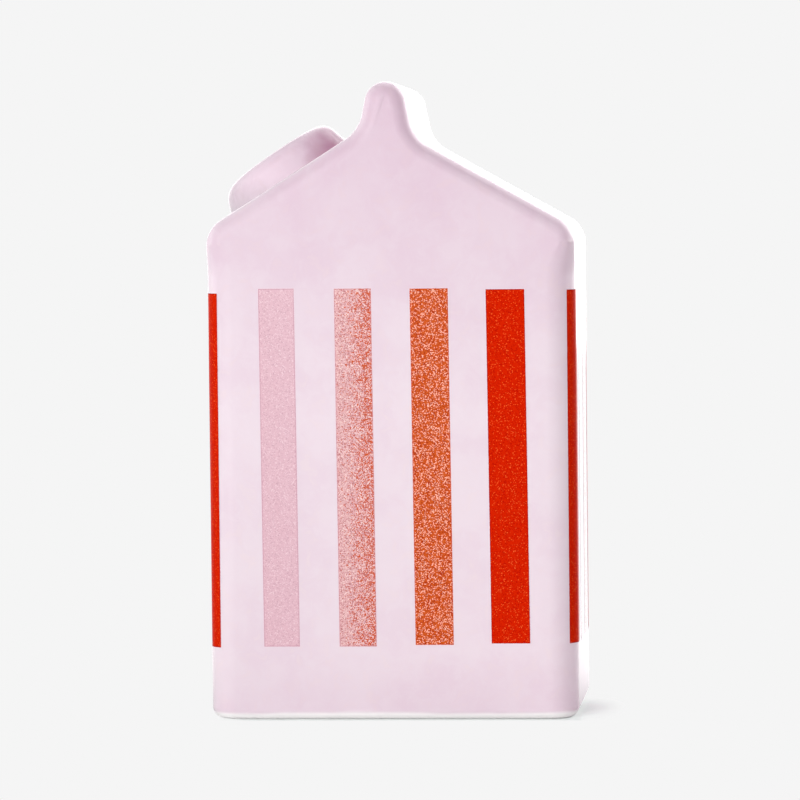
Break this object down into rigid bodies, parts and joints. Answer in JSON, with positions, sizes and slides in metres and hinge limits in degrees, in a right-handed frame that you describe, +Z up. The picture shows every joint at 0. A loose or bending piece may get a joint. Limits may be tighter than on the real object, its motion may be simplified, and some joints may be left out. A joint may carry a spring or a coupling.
{
  "type": "milk carton vase",
  "caption": "Ceramic vase in the form of a gabled milk carton, with a ridge fin, a round spout as its mouth and striped transfers.",
  "frame": {"origin": "middle of the footprint, on the surface that the vase stands on", "axes": "+Z up, -Y out of the front gable, +X to the right in the front view; the spout is on the -X roof slope"},
  "size_m": [0.1056, 0.076, 0.18],
  "materials": {
    "glaze": "pale pink gloss glaze",
    "stripe_pink": "fired transfer, dusty pink",
    "stripe_fade": "fired transfer, pink fading to speckled orange",
    "stripe_orange": "fired transfer, orange with pale specks",
    "stripe_red": "fired transfer, red"
  },
  "bodies": {
    "root": {"vase_body": "glaze", "spout": "glaze", "stripe_front_pink": "stripe_pink", "stripe_front_fade": "stripe_fade", "stripe_front_orange": "stripe_orange", "stripe_front_red": "stripe_red", "stripe_corner_front_right": "stripe_red", "stripe_right_pink": "stripe_pink", "stripe_right_fade": "stripe_fade", "stripe_corner_back_right": "stripe_red", "stripe_back_pink": "stripe_pink", "stripe_back_fade": "stripe_fade", "stripe_back_orange": "stripe_orange", "stripe_back_red": "stripe_red", "stripe_corner_back_left": "stripe_red", "stripe_left_pink": "stripe_pink", "stripe_left_fade": "stripe_fade", "stripe_corner_front_left": "stripe_red"}
  },
  "joints": []
}
